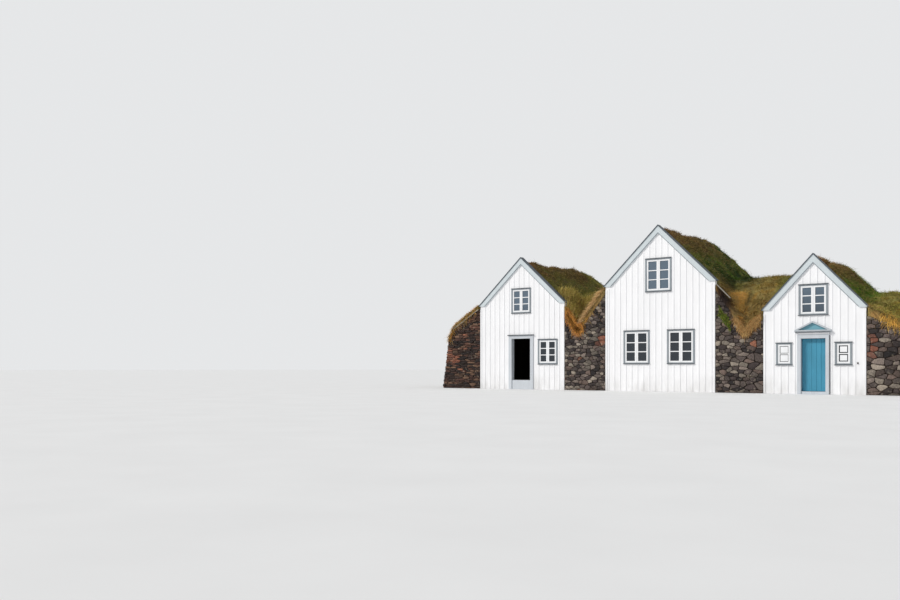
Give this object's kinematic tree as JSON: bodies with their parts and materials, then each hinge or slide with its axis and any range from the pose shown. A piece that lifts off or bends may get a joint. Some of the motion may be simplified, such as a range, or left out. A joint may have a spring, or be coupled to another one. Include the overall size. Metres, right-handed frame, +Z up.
{
  "type": "turf house",
  "caption": "Turf farmhouse: three white timber gables between thick stone and turf walls, under steep grass roofs.",
  "frame": {"origin": "on the ground, at the centre of the row's box", "axes": "+X to the right along the front, +Y from the gables to the back, +Z up"},
  "size_m": [19.3, 6.825, 6.3529],
  "materials": {
    "dry_stone": "dry-laid basalt with turf and earth in the joints",
    "turf": "living turf with dry grass",
    "white_boards": "white painted vertical boards and battens",
    "pale_trim": "pale grey-green paint",
    "dark_cap": "dark grey paint",
    "inner_boards": "unpainted old boards",
    "window_paint": "white sashes in grey-blue casings",
    "window_glass": "old window glass",
    "door_trim": "pale lilac-grey paint",
    "cornice_paint": "grey paint with a white top line",
    "tympanum_paint": "blue-green paint",
    "door_paint": "blue painted boards"
  },
  "bodies": {
    "house_row": {"left_end_wall": "dry_stone", "left_cross_wall": "dry_stone", "right_cross_wall": "dry_stone", "right_end_wall": "dry_stone", "left_back_wall": "dry_stone", "middle_back_wall": "dry_stone", "right_back_wall": "dry_stone", "left_turf_west": "turf", "left_turf_east": "turf", "middle_turf_west": "turf", "middle_turf_east": "turf", "right_turf_west": "turf", "right_turf_east": "turf", "left_gable_west": "white_boards", "left_gable_east": "white_boards", "left_gable_over": "white_boards", "middle_gable": "white_boards", "right_gable_west": "white_boards", "right_gable_east": "white_boards", "right_gable_over": "white_boards", "left_bargeboards": "pale_trim", "middle_bargeboards": "pale_trim", "right_bargeboards": "pale_trim", "left_verge_cap": "dark_cap", "middle_verge_cap": "dark_cap", "right_verge_cap": "dark_cap", "left_roof_boards": "inner_boards", "middle_roof_boards": "inner_boards", "right_roof_boards": "inner_boards", "left_side_panels": "inner_boards", "middle_side_panels": "inner_boards", "right_side_panels": "inner_boards", "left_floor": "inner_boards", "middle_floor": "inner_boards", "right_floor": "inner_boards", "left_loft_floor": "inner_boards", "middle_loft_floor": "inner_boards", "right_loft_floor": "inner_boards", "left_window_frames": "window_paint", "middle_window_frames": "window_paint", "right_window_frames": "window_paint", "left_window_glass": "window_glass", "middle_window_glass": "window_glass", "right_window_glass": "window_glass", "left_door_frame": "door_trim", "right_door_frame": "door_trim", "door_cornice": "cornice_paint", "tympanum": "tympanum_paint"},
    "right_door_leaf": {"right_door": "door_paint"}
  },
  "joints": [
    {"name": "right_door_hinge", "type": "hinge", "parent": "house_row", "child": "right_door_leaf", "pos_m": [6.404, -3.0875, 0.09], "axis": [0, 0, -1], "range_deg": [0, 90]}
  ]
}
